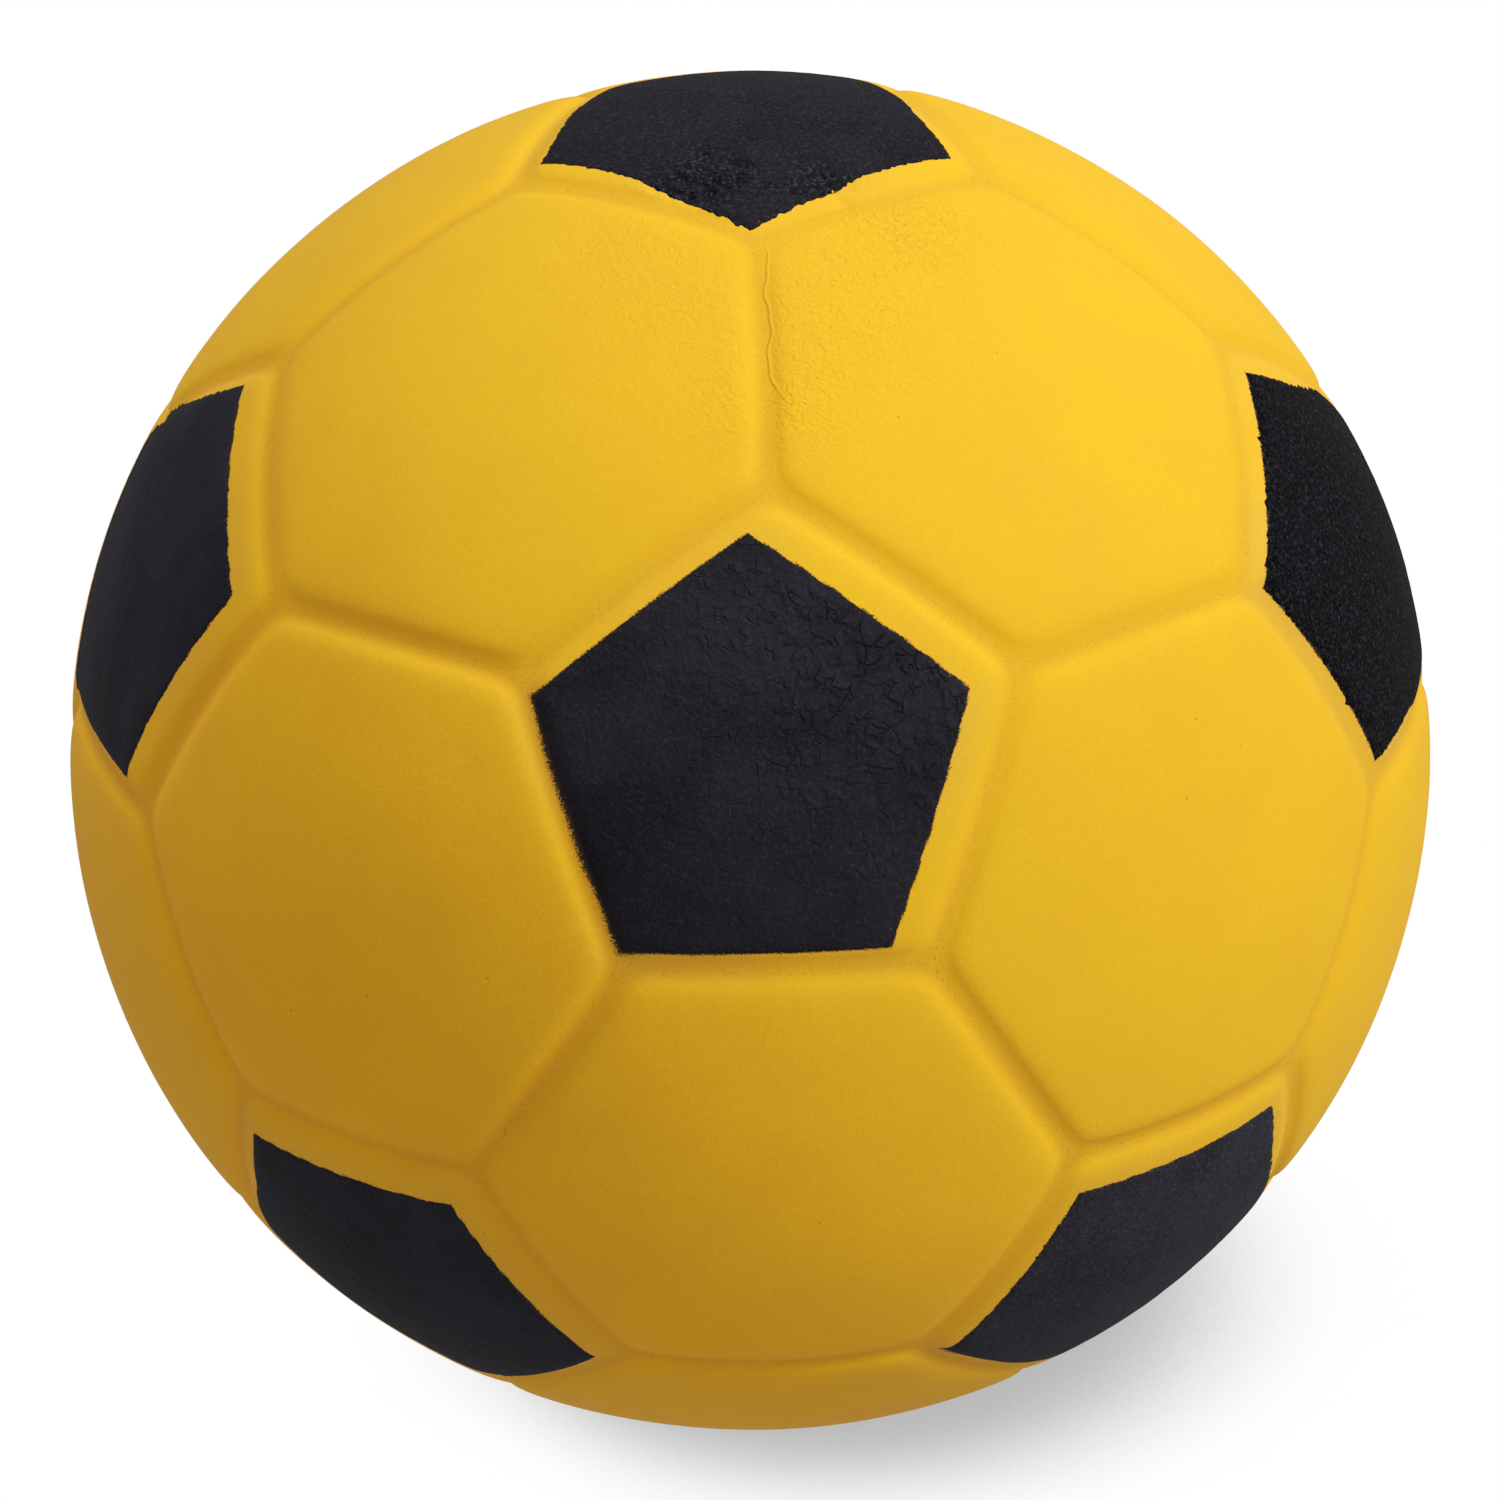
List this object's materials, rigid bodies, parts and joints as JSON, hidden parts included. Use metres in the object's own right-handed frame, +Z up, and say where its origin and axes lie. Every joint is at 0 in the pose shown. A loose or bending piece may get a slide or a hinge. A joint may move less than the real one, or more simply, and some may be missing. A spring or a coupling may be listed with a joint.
{
  "type": "stress ball",
  "caption": "Soft foam stress ball with a moulded football pattern of pentagonal and hexagonal pads and black coats on the pentagons.",
  "frame": {"origin": "centre of the ball", "axes": "+Z up through the middle of the crown's black pentagon, -Z through the base's, and -Y on the side of a pentagon of the upper band"},
  "size_m": [0.0634, 0.0634, 0.0636],
  "materials": {
    "foam": "matte",
    "yellow_skin": "satin",
    "black_coat": "matte"
  },
  "bodies": {
    "ball": {"foam_core": "foam", "skin": "yellow_skin", "black_patch_base": "black_coat"},
    "crown": {"black_patch_crown": "black_coat"},
    "upper_band": {"black_patch_upper_1": "black_coat", "black_patch_upper_2": "black_coat", "black_patch_upper_3": "black_coat", "black_patch_upper_4": "black_coat", "black_patch_upper_5": "black_coat"},
    "lower_band": {"black_patch_lower_1": "black_coat", "black_patch_lower_2": "black_coat", "black_patch_lower_3": "black_coat", "black_patch_lower_4": "black_coat", "black_patch_lower_5": "black_coat"}
  },
  "joints": [
    {"name": "squeeze", "type": "slide", "parent": "ball", "child": "crown", "axis": [0, 0, -1], "range_m": [0, 0.0254], "stiffness_N_per_m": 1500, "deforming": ["foam_core", "skin"]},
    {"name": "upper_band_squeeze", "type": "slide", "parent": "ball", "child": "upper_band", "axis": [0, 0, -1], "range_m": [0, 0.0184]},
    {"name": "lower_band_squeeze", "type": "slide", "parent": "ball", "child": "lower_band", "axis": [0, 0, -1], "range_m": [0, 0.0071]}
  ],
  "couplings": [
    {"joint": "upper_band_squeeze", "follows": "squeeze", "ratio": 0.72361},
    {"joint": "lower_band_squeeze", "follows": "squeeze", "ratio": 0.27639}
  ]
}
